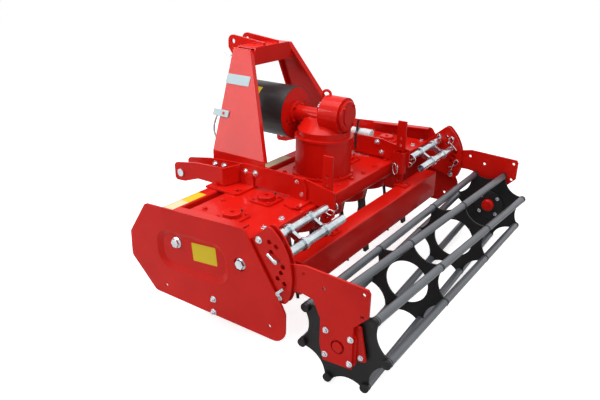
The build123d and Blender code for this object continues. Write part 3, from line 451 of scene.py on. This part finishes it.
dress(red_enamel, "gearbox_body", "gearbox_cover")
gearbox_trim = bmesh.new()
cover_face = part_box("gearbox_cover")[0].y + cover_rim_depth
for angle in bolt_angles(head_bolt_count):
    across, over = head_bolt_circle * cos(angle), head_bolt_circle * sin(angle)
    place = Vector((across, cover_face, head_middle_height + over))
    add_hex_bolt(gearbox_trim, place, backward, head_bolt_flats, washer=False)
    across, over = flange_bolt_circle * cos(angle), flange_bolt_circle * sin(angle)
    place = at(across, flange_face, shaft_height + over)
    add_hex_bolt(gearbox_trim, place, backward, flange_bolt_flats)
for angle in bolt_angles(drum_bolt_count):
    place = drum_foot + Vector((drum_bolt_circle * cos(angle), drum_bolt_circle * sin(angle), 0))
    add_hex_bolt(gearbox_trim, place, up, drum_bolt_flats, washer=False)
add_round(gearbox_trim, eye_foot, up, eye_stem_r, eye_stem_height)
eye_centre = eye_foot + up * (eye_stem_height + eye_r)
add_ring(gearbox_trim, eye_centre, eye_facing, eye_r, eye_thickness)
finished(gearbox_trim, "gearbox_bolts_and_eye", red_enamel, "harrow_frame")

plugs = bmesh.new()
add_hex_bolt(plugs, boss_top, up, plug_flats, stud=plug_neck_height)
finished(plugs, "oil_filler_plug", zinc_plate, "harrow_frame")

# Headstock: brackets on the cover, leaning legs, cross beam and top link
# plates, welded and bolted together, then painted in one piece. The weld
# beads show at the feet; the larger bolts are plated and came after the paint.
front_bracket_bolts = ((0.199, 0.597), (0.138, 0.599))
rear_bracket_bolts = ((-0.114, 0.615), (-0.143, 0.560))
bracket_bolt_flats = 0.021
bracket_face = 0.397
bracket_inner_face = 0.387
pocket_bolts = ((0.397, 0.593), (0.337, 0.595))
pocket_bolt_flats = 0.023
pocket_stud = 0.009
foot_bolts = ((0.505, 0.175), (0.505, 0.305))
foot_top = cover_top + foot_thickness
foot_bead_runs = ((-0.184, -0.062), (0.142, 0.338))
foot_bead_r = 0.0045
link_bead_sides = (0.052, 0.064)
link_bead_run = (0.340, 0.445)
link_bead_height = 1.155
link_bead_r = 0.00315


def add_bead(shape, start, end, radius):
    """Weld bead laid along a joint."""
    run = end - start
    stand = standing((start + end) / 2, run)
    bmesh.ops.create_cone(
        shape, cap_ends=True, segments=10, radius1=radius, radius2=radius, depth=run.length, matrix=stand
    )


dress(
    red_enamel,
    "mast_leg_left",
    "mast_leg_right",
    "mast_beam",
    "toplink_plates",
    "hitch_bracket_left",
    "hitch_bracket_right",
    "frame_feet",
    "front_beam",
)
dress(zinc_plate, "hitch_pins")
frame_bolts = bmesh.new()
foot_heads = bmesh.new()
beads = bmesh.new()
for side in (-1, 1):
    outward = Vector((side, 0, 0))
    for forward, height in front_bracket_bolts + rear_bracket_bolts:
        place = at(side * bracket_face, forward, height)
        add_hex_bolt(frame_bolts, place, outward, bracket_bolt_flats)
    for forward, height in rear_bracket_bolts:
        place = at(side * bracket_inner_face, forward, height)
        add_hex_bolt(frame_bolts, place, -outward, bracket_bolt_flats, stud=nut_stud)
    for forward, height in pocket_bolts:
        place = at(side * bracket_face, forward, height)
        add_hex_bolt(frame_bolts, place, outward, pocket_bolt_flats, stud=pocket_stud)
    for x, forward in foot_bolts:
        add_hex_bolt(foot_heads, at(side * x, forward, foot_top), up, cover_bolt_flats)
    for rear, front in foot_bead_runs:
        start, end = at(side * bracket_face, rear, foot_top), at(side * bracket_face, front, foot_top)
        add_bead(beads, start, end, foot_bead_r)
    for x in link_bead_sides:
        start, end = [at(side * x, forward, link_bead_height) for forward in link_bead_run]
        add_bead(beads, start, end, link_bead_r)
finished(frame_bolts, "headstock_bolts", zinc_plate, "harrow_frame")
finished(foot_heads, "painted_foot_bolts", red_enamel, "harrow_frame")
finished(beads, "headstock_welds", red_enamel, "harrow_frame")

# Data plate, left blank, riveted to the left leg, and a lug at the leg's
# front edge, both in a dull silver finish. A plated wire loop hangs from the
# lug, and a bent wire hook under the top link plates.
leg_lean = Vector((-0.9195, 0, 0.3930))
forward_way = Vector((0, 1, 0))
blank_plate_middle = at(-0.2412, 0.367, 1.0035)
blank_plate_size = (0.148, 0.050, 0.0012)
blank_plate_corner = 0.003
rivet_spread = 0.066
rivet_r = 0.0035
rivet_height = 0.0015
lug_middle = at(-0.3125, 0.422, 0.840)
lug_size = (0.098, 0.034, 0.006)
lug_corner = 0.004
lug_hole_forward = 0.403
lug_hole_r = 0.0095
lug_hole_rim = 0.0015
lug_hole_paint = 0.0006
loop_x = -0.312
loop_wire_r = 0.0048
loop_run = (
    # forward, up
    (0.450, 0.828),
    (0.464, 0.800),
    (0.477, 0.765),
    (0.477, 0.732),
    (0.466, 0.704),
    (0.448, 0.692),
    (0.430, 0.702),
)
hook_x = -0.068
hook_wire_r = 0.004
hook_run = (
    # forward, up
    (0.602, 1.100),
    (0.592, 1.090),
    (0.577, 1.082),
    (0.560, 1.080),
    (0.546, 1.090),
)


def add_slab(shape, middle, outward, along, length, height, thickness, broken=0.0):
    """Flat plate lying on a face: middle of its underside, outward and lengthwise ways."""
    outward, along = Vector(outward).normalized(), Vector(along).normalized()
    over = outward.cross(along)
    turn = Matrix((along, over, outward)).transposed().to_4x4()
    stand = Matrix.Translation(middle + outward * thickness / 2) @ turn
    size = Matrix.Diagonal((length, height, thickness, 1))
    made = bmesh.ops.create_cube(shape, size=1.0, matrix=stand @ size)
    if broken:
        corners = {
            edge
            for vert in made["verts"]
            for edge in vert.link_edges
            if abs((edge.verts[0].co - edge.verts[1].co).dot(outward)) > thickness / 2
        }
        bmesh.ops.bevel(
            shape, geom=list(corners), offset=broken, segments=4, profile=0.5, affect="EDGES", material=-1
        )


def bent_wire(name, places, radius, finish, body):
    """Wire or rod bent along a smooth path, with closed ends."""
    path = bpy.data.curves.new(name, "CURVE")
    path.dimensions = "3D"
    path.bevel_depth = radius
    path.bevel_resolution = 3
    path.use_fill_caps = True
    run = path.splines.new("NURBS")
    run.points.add(len(places) - 1)
    for point, place in zip(run.points, places):
        point.co = (*place, 1.0)
    run.use_endpoint_u = True
    run.order_u = 3
    run.resolution_u = 6
    path.materials.append(finish)
    wire = bpy.data.objects.new(name, path)
    bpy.context.scene.collection.objects.link(wire)
    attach(wire, body)


plate_silver = sprayed(
    "plate_silver",
    deep=(0.45, 0.57, 0.60, 1),
    bright=(0.51, 0.63, 0.66, 1),
    roughness=0.45,
    grain=600.0,
    grain_depth=0.0001,
    shine=0.1,
    coat=0.0,
    edge=0.0003,
)
blank_plate = bmesh.new()
add_slab(
    blank_plate, blank_plate_middle, leg_lean, forward_way, *blank_plate_size, broken=blank_plate_corner
)
for spread in (-rivet_spread, rivet_spread):
    rivet_place = blank_plate_middle + forward_way * spread + leg_lean * blank_plate_size[2]
    add_round(blank_plate, rivet_place, leg_lean, rivet_r, rivet_height, sides=12)
finished(blank_plate, "blank_plate", plate_silver, "harrow_frame")

lug = bmesh.new()
add_slab(lug, lug_middle, leg_lean, forward_way, *lug_size, broken=lug_corner)
hole_place = at(lug_middle.x, lug_hole_forward, lug_middle.z) + leg_lean * lug_size[2]
add_ring(lug, hole_place, leg_lean, lug_hole_r, lug_hole_rim)
finished(lug, "leg_lug", plate_silver, "harrow_frame")
lug_hole = bmesh.new()
add_round(lug_hole, hole_place, leg_lean, lug_hole_r, lug_hole_paint)
finished(lug_hole, "leg_lug_hole", red_enamel, "harrow_frame")
loop_places = [at(loop_x, forward, height) for forward, height in loop_run]
bent_wire("leg_wire_loop", loop_places, loop_wire_r, zinc_plate, "harrow_frame")
hook_places = [at(hook_x, forward, height) for forward, height in hook_run]
bent_wire("top_link_hook", hook_places, hook_wire_r, zinc_plate, "harrow_frame")

# Blank vinyl labels: yellow and white foil stuck on the front beam and in
# the recess of the left side plate.
label_yellow = sprayed(
    "label_yellow",
    deep=(0.68, 0.49, 0.012, 1),
    bright=(0.74, 0.54, 0.016, 1),
    roughness=0.4,
    grain=700.0,
    grain_depth=0.0001,
    shine=0.2,
    coat=0.0,
    edge=0.0002,
)
label_white = sprayed(
    "label_white",
    deep=(0.68, 0.61, 0.34, 1),
    bright=(0.74, 0.67, 0.40, 1),
    roughness=0.4,
    grain=700.0,
    grain_depth=0.0001,
    shine=0.2,
    coat=0.0,
    edge=0.0002,
)
label_thickness = 0.0006
beam_label_corner = 0.003
beam_labels = (
    # x middle, forward middle, length, width, finish
    (-0.665, 0.298, 0.120, 0.052, label_yellow),
    (-0.796, 0.298, 0.142, 0.052, label_white),
    (-0.012, 0.297, 0.212, 0.050, label_white),
)
recess_label_middle = at(-0.906, 0.013, 0.410)
recess_label_size = (0.138, 0.084, label_thickness)
recess_label_corner = 0.004
recess_label_lean = radians(-5.8)

for number, (x, forward, length, width, finish) in enumerate(beam_labels, 1):
    label = bmesh.new()
    size = (length, width, label_thickness)
    add_slab(label, at(x, forward, cover_top), up, (1, 0, 0), *size, broken=beam_label_corner)
    finished(label, f"front_beam_label_{number}", finish, "harrow_frame")
label = bmesh.new()
label_way = (0, cos(recess_label_lean), sin(recess_label_lean))
add_slab(
    label, recess_label_middle, (-1, 0, 0), label_way, *recess_label_size, broken=recess_label_corner
)
finished(label, "side_plate_label", label_yellow, "harrow_frame")

# Power take-off shield: black moulded plastic, grained outside, round the
# machined steel stub. Its rear is closed by a red plate with punched holes,
# shown as thin discs of the shield's black plastic in painted shade.
shield_r = 0.136
shield_label_forward = 0.374
shield_label_width = 0.054
shield_label_start = radians(118)
shield_label_sweep = radians(20)
punched_holes = (
    # across, up
    (-0.038, 0.862),
    (0.016, 0.866),
    (0.080, 0.864),
    (-0.082, 0.790),
    (-0.060, 0.768),
)
punched_hole_r = 0.006
# Thickness of the painted-shade discs that stand in the holes.
hole_shade_thickness = 0.0006


def add_band(shape, centre, axis, radius, thickness, width, start, sweep, steps=12):
    """Flat band bent round an axis: a rectangle spun through an angle."""
    axis = Vector(axis).normalized()
    stand = (
        standing(centre, axis)
        @ Matrix.Rotation(start, 4, "Z")
        @ Matrix.Translation((radius + thickness / 2, 0, 0))
        @ Matrix.Rotation(pi / 2, 4, "X")
        @ Matrix.Diagonal((thickness, width, 1, 1))
    )
    section = bmesh.ops.create_grid(shape, x_segments=1, y_segments=1, size=0.5, matrix=stand)
    faces = {face for vert in section["verts"] for face in vert.link_faces}
    edges = {edge for face in faces for edge in face.edges}
    geometry = section["verts"] + list(edges) + list(faces)
    bmesh.ops.spin(shape, geom=geometry, cent=centre, axis=axis, angle=sweep, steps=steps)


stub_steel = plated(
    "stub_steel", deep=(0.30, 0.30, 0.31, 1), bright=(0.55, 0.55, 0.56, 1), roughness=0.34
)
dress(shield_black, "pto_shield")
dress(red_enamel, "shield_plate")
dress(stub_steel, "pto_shaft")
shield_label = bmesh.new()
add_band(
    shield_label,
    at(0, shield_label_forward, shaft_height),
    backward,
    shield_r,
    label_thickness,
    shield_label_width,
    shield_label_start,
    shield_label_sweep,
)
finished(shield_label, "shield_label", label_yellow, "harrow_frame")
# Thin black discs on the plate's rear face are painted shade for the dark inside seen through the punched
# holes.
hole_shade_discs = bmesh.new()
plate_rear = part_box("shield_plate")[0].y
for x, height in punched_holes:
    place = Vector((x, plate_rear, height))
    add_round(hole_shade_discs, place, backward, punched_hole_r, hole_shade_thickness, sides=16)
finished(hole_shade_discs, "shield_plate_hole_shades", shield_black, "harrow_frame")

# Side plates: pressed sheet in red, held by the front bolt and the roller
# arm's pivot bolt, with two small bolts for the wear shoe inside.
side_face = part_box("side_plate_right")[1].x
shoe_bolts = ((-0.043, 0.217), (-0.041, 0.152))
shoe_bolt_flats = 0.019

dress(red_enamel, "side_plate_left", "side_plate_right")
dress(zinc_plate, "side_bolts")
side_studs = bmesh.new()
for side in (-1, 1):
    for forward, height in shoe_bolts:
        place = at(side * side_face, forward, height)
        add_hex_bolt(side_studs, place, (side, 0, 0), shoe_bolt_flats, stud=nut_stud)
finished(side_studs, "side_plate_bolts", zinc_plate, "harrow_frame")

# Sector plates with the plated guide and stop tubes that set the working
# depth. Each stop pin ends in a bent handle outside and a wire clip inside.
sector_face = 0.908
sector_inner_face = 0.872
distance_bolts = ((-0.286, 0.568), (-0.384, 0.340))
distance_bolt_flats = 0.019
handle_r = 0.0068
clip_x = 0.862
clip_wire_r = 0.0024
sector_pins = (
    # name, then forward and up of the pin, then the run of its handle across,
    # forward and up, then the run of its clip forward and up from the pin
    (
        "stop_pin",
        (-0.3746, 0.5048),
        (
            (0.914, -0.3746, 0.5048),
            (0.925, -0.377, 0.503),
            (0.9235, -0.362, 0.512),
            (0.9215, -0.337, 0.527),
        ),
        (
            (-0.035, -0.004),
            (-0.006, 0.027),
            (0.008, 0.032),
            (0.023, 0.046),
            (0.011, 0.076),
            (-0.013, 0.070),
            (-0.009, 0.046),
            (0.001, 0.026),
            (0.002, -0.012),
        ),
    ),
    (
        "lower_pin",
        (-0.3878, 0.3673),
        (
            (0.914, -0.3878, 0.3673),
            (0.925, -0.386, 0.369),
            (0.9235, -0.399, 0.384),
            (0.9215, -0.415, 0.400),
        ),
        (
            (0.016, 0.019),
            (-0.012, 0.033),
            (-0.028, 0.042),
            (-0.046, 0.066),
            (-0.020, 0.078),
            (-0.013, 0.050),
            (-0.005, 0.018),
            (0.001, -0.012),
        ),
    ),
)

dress(red_enamel, "sector_plates_left", "sector_plates_right")
dress(zinc_plate, "guide_tubes", "stop_tubes", "tube_links", "lower_pins")
sector_heads = bmesh.new()
for side_name, side in (("left", -1), ("right", 1)):
    for forward, height in distance_bolts:
        outer_place = at(side * sector_face, forward, height)
        add_hex_bolt(sector_heads, outer_place, (side, 0, 0), distance_bolt_flats)
        inner_place = at(side * sector_inner_face, forward, height)
        add_hex_bolt(sector_heads, inner_place, (-side, 0, 0), distance_bolt_flats)
    for pin_name, (pin_forward, pin_height), handle_run, clip_run in sector_pins:
        handle = [at(side * x, forward, height) for x, forward, height in handle_run]
        handle_name = f"{pin_name}_handle_{side_name}"
        bent_wire(handle_name, handle, handle_r, zinc_plate, "harrow_frame")
        clip = [
            at(side * clip_x, pin_forward + forward, pin_height + height) for forward, height in clip_run
        ]
        bent_wire(f"{pin_name}_clip_{side_name}", clip, clip_wire_r, zinc_plate, "harrow_frame")
finished(sector_heads, "sector_bolts", zinc_plate, "harrow_frame")

# Levelling beam behind the rotors: painted box tube hung on two flat bars
# that slide in sleeves, each held by a plated pin with wire clips.
hanger_x = 0.377
saddle_bolts = ((-0.020, -0.316), (0.020, -0.316))
saddle_bolt_flats = 0.017
saddle_top = 0.407
hanger_clip_r = 0.0028
hanger_clips = (
    # name, across, then the run forward and up
    (
        "hanger_inner_clip",
        0.340,
        (
            (-0.265, 0.494),
            (-0.262, 0.516),
            (-0.254, 0.533),
            (-0.242, 0.524),
            (-0.240, 0.500),
            (-0.252, 0.466),
            (-0.267, 0.468),
            (-0.275, 0.500),
            (-0.269, 0.526),
        ),
    ),
    (
        "hanger_outer_clip",
        0.411,
        (
            (-0.333, 0.566),
            (-0.344, 0.553),
            (-0.340, 0.538),
            (-0.324, 0.522),
            (-0.304, 0.528),
            (-0.286, 0.519),
            (-0.264, 0.512),
            (-0.284, 0.505),
            (-0.300, 0.500),
            (-0.316, 0.502),
            (-0.324, 0.520),
        ),
    ),
)

dress(red_enamel, "levelling_beam", "hanger_sleeves", "hanger_bars")
dress(zinc_plate, "hanger_pins")
saddle_heads = bmesh.new()
for side_name, side in (("left", -1), ("right", 1)):
    for x, forward in saddle_bolts:
        place = at(side * hanger_x + x, forward, saddle_top)
        add_hex_bolt(saddle_heads, place, up, saddle_bolt_flats, washer=False)
    for clip_name, x, clip_run in hanger_clips:
        clip = [at(side * x, forward, height) for forward, height in clip_run]
        bent_wire(f"{clip_name}_{side_name}", clip, hanger_clip_r, zinc_plate, "harrow_frame")
finished(saddle_heads, "saddle_bolts", red_enamel, "harrow_frame")

# Document canister: white plastic tube with a screwed cap at its rear end,
# held against the right bracket by a black strap with its free end up.
canister_x = 0.4243
canister_height = 0.638
canister_r = 0.027
cap_front = 0.002
cap_rear = -0.056
cap_r = canister_r + 0.0016
cap_ribs = (-0.008, -0.020, -0.032, -0.044)
cap_rib_r = 0.0013
strap_forward = 0.026
strap_width = 0.013
strap_thickness = 0.0016
strap_loop_r = canister_r + 0.0004
strap_loop_start = radians(-150)
strap_loop_sweep = radians(300)
strap_runs = (
    # middle, outward, lengthwise, length
    ((0.387, strap_forward, 0.598), (-1, 0, 0), (0, 0, 1), 0.096),
    ((0.3935, strap_forward, 0.652), (-0.6, 0, 0.8), (0.8, 0, 0.6), 0.030),
    ((0.402, strap_forward, 0.688), (-1, 0, 0.2), (0.2, 0, 1), 0.062),
)

white_plastic = sprayed(
    "white_plastic",
    deep=(0.66, 0.69, 0.70, 1),
    bright=(0.74, 0.77, 0.78, 1),
    roughness=0.35,
    grain=500.0,
    grain_depth=0.0003,
    shine=0.4,
    coat=0.1,
    edge=0.001,
)
dress(white_plastic, "document_canister")
canister_cap = bmesh.new()
cap_place = at(canister_x, cap_front, canister_height)
add_round(canister_cap, cap_place, backward, cap_r, cap_front - cap_rear, sides=40)
for forward in cap_ribs:
    rib_place = at(canister_x, forward, canister_height)
    add_ring(canister_cap, rib_place, forward_way, cap_r, cap_rib_r, sides=6, steps=36)
finished(canister_cap, "canister_cap", white_plastic, "harrow_frame")
strap = bmesh.new()
add_band(
    strap,
    at(canister_x, strap_forward, canister_height),
    backward,
    strap_loop_r,
    strap_thickness,
    strap_width,
    strap_loop_start,
    strap_loop_sweep,
    steps=30,
)
for middle, outward, along, length in strap_runs:
    add_slab(strap, at(*middle), outward, along, length, strap_width, strap_thickness)
finished(strap, "canister_strap", shield_black, "harrow_frame")

# Roller arms: red plates that hang on the pivot bolts, with a flange bearing
# held by four bolts at the foot, and a narrow plate behind the bearing.
axle_forward = -0.651
axle_height = 0.2145
arm_face = 0.895
bearing_bolt_spread = 0.055
bearing_bolt_flats = 0.0165
bearing_stud = 0.004
back_plate_inner = 0.867
back_plate_middle = (-0.732, 0.249)
back_plate_size = (0.152, 0.040, 0.008)
back_plate_way = (0, -0.205, -0.979)
back_plate_corner = 0.008
back_plate_outer = back_plate_inner + back_plate_size[2]
back_plate_bolt = (-0.742, 0.191)
back_plate_bolt_flats = 0.015

dress(red_enamel, "roller_arm_left", "roller_arm_right", "roller_bearings")
bearing_bolts = bmesh.new()
back_plates = bmesh.new()
for side in (-1, 1):
    outward = (side, 0, 0)
    for over in (-bearing_bolt_spread, bearing_bolt_spread):
        for along in (-bearing_bolt_spread, bearing_bolt_spread):
            place = at(side * arm_face, axle_forward + along, axle_height + over)
            add_hex_bolt(bearing_bolts, place, outward, bearing_bolt_flats, stud=bearing_stud)
    place = at(side * back_plate_inner, *back_plate_middle)
    add_slab(back_plates, place, outward, back_plate_way, *back_plate_size, broken=back_plate_corner)
    place = at(side * back_plate_outer, *back_plate_bolt)
    add_hex_bolt(bearing_bolts, place, outward, back_plate_bolt_flats)
finished(bearing_bolts, "bearing_bolts", zinc_plate, "roller_arms")
finished(back_plates, "bearing_back_plates", red_enamel, "roller_arms")

# Cage roller: tubes with black ends, welded into scalloped plates in satin
# black. The tubes are the same satin black, coloured a lighter bluish grey as a
# painted reflection of the bright room. The hubs are red domes, and a black
# cover lies over each hub's flange, with a ring of plated bolts.
bar_count = 7
bar_circle = 0.196
bar_r = 0.0185
first_bar = radians(29.9)
bar_twist = radians(25.7)
plate_reach = 0.857
end_plate_face = 0.849
weld_faces = (-end_plate_face, -0.288, -0.280, 0.280, 0.288, end_plate_face)
weld_r = 0.0018
bar_end_cover = 0.0008
bar_end_r = bar_r + bar_end_cover
bar_end_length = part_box("roller_bars")[1].x - plate_reach + bar_end_cover
flange_cover_r = 0.0865
flange_cover_height = 0.012
flange_cover_face = end_plate_face - flange_cover_height
hub_bolt_count = 4
hub_bolt_circle = 0.069
hub_bolt_flats = 0.014


def round_axle(x, radius, angle):
    """Place on a circle about the roller's axle."""
    return at(x, axle_forward + radius * cos(angle), axle_height + radius * sin(angle))


roller_black = sprayed(
    "roller_black",
    deep=(0.008, 0.008, 0.009, 1),
    bright=(0.015, 0.014, 0.015, 1),
    roughness=0.40,
    grain=300.0,
    grain_depth=0.0008,
    shine=0.3,
    coat=0.0,
    edge=0.0014,
)
# The tubes' lighter bluish grey is painted reflection: the roller's black paint, lightened as if it
# mirrored the bright room.
bar_painted_reflection = sprayed(
    "bar_painted_reflection",
    deep=(0.050, 0.058, 0.070, 1),
    bright=(0.080, 0.092, 0.108, 1),
    roughness=0.38,
    grain=300.0,
    grain_depth=0.0006,
    shine=1.0,
    coat=0.3,
    edge=0.0010,
)
dress(roller_black, "roller_end_plates", "roller_discs")
dress(bar_painted_reflection, "roller_bars")
dress(red_enamel, "roller_hubs")
roller_welds = bmesh.new()
bar_ends = bmesh.new()
for bar in range(bar_count):
    left_angle = first_bar - 2 * pi * bar / bar_count
    left_end = round_axle(-plate_reach, bar_circle, left_angle)
    right_end = round_axle(plate_reach, bar_circle, left_angle + bar_twist)
    bar_way = (right_end - left_end).normalized()
    for x in weld_faces:
        weld_place = left_end.lerp(right_end, (x + plate_reach) / (2 * plate_reach))
        add_ring(roller_welds, weld_place, bar_way, bar_r, weld_r, sides=6, steps=20)
    add_round(bar_ends, left_end, -bar_way, bar_end_r, bar_end_length)
    add_round(bar_ends, right_end, bar_way, bar_end_r, bar_end_length)
finished(roller_welds, "roller_welds", roller_black, "roller")
finished(bar_ends, "bar_ends", roller_black, "roller")
flange_covers = bmesh.new()
hub_bolts = bmesh.new()
for side in (-1, 1):
    inward = (-side, 0, 0)
    hub_place = at(side * end_plate_face, axle_forward, axle_height)
    add_round(flange_covers, hub_place, inward, flange_cover_r, flange_cover_height, sides=48)
    for angle in bolt_angles(hub_bolt_count):
        place = round_axle(side * flange_cover_face, hub_bolt_circle, angle)
        add_hex_bolt(hub_bolts, place, inward, hub_bolt_flats)
finished(flange_covers, "hub_flange_covers", roller_black, "roller")
finished(hub_bolts, "hub_bolts", zinc_plate, "roller")

# Rotors: red carriers with a pair of forged tines in black. A clamp plate
# below each carrier holds the tines, drawn up by four plated bolts.
down = (0, 0, -1)
middle_rotor = 4
carrier_top = 0.368
carrier_bottom = 0.344
clamp_r = 0.1175
clamp_thickness = 0.030
tine_bolt_circle = 0.096
tine_bolt_spread = radians(33.0)
tine_bolt_flats = 0.022
even_way = radians(-56.0)
odd_way = radians(90.0)
tine_ways = (odd_way, even_way, odd_way, even_way, odd_way, even_way, odd_way)

tine_black = sprayed(
    "tine_black",
    deep=(0.008, 0.008, 0.009, 1),
    bright=(0.020, 0.019, 0.019, 1),
    roughness=0.42,
    grain=200.0,
    grain_depth=0.0010,
    shine=0.4,
    coat=0.0,
    edge=0.0012,
)
for rotor, first_tine in enumerate(tine_ways, 1):
    dress(red_enamel, f"rotor_{rotor}")
    dress(tine_black, f"tines_{rotor}")
    rotor_x = (rotor - middle_rotor) * rotor_pitch
    clamp = bmesh.new()
    add_round(clamp, at(rotor_x, 0, carrier_bottom), down, clamp_r, clamp_thickness, sides=48)
    finished(clamp, f"tine_clamp_{rotor}", red_enamel, f"rotor_{rotor}")
    tine_bolts = bmesh.new()
    for tine_way in (first_tine, first_tine + pi):
        for spread in (-tine_bolt_spread, tine_bolt_spread):
            across = tine_bolt_circle * cos(tine_way + spread)
            along = tine_bolt_circle * sin(tine_way + spread)
            place = at(rotor_x + across, along, carrier_top)
            add_hex_bolt(tine_bolts, place, up, tine_bolt_flats, stud=nut_stud)
    finished(tine_bolts, f"tine_bolts_{rotor}", zinc_plate, f"rotor_{rotor}")
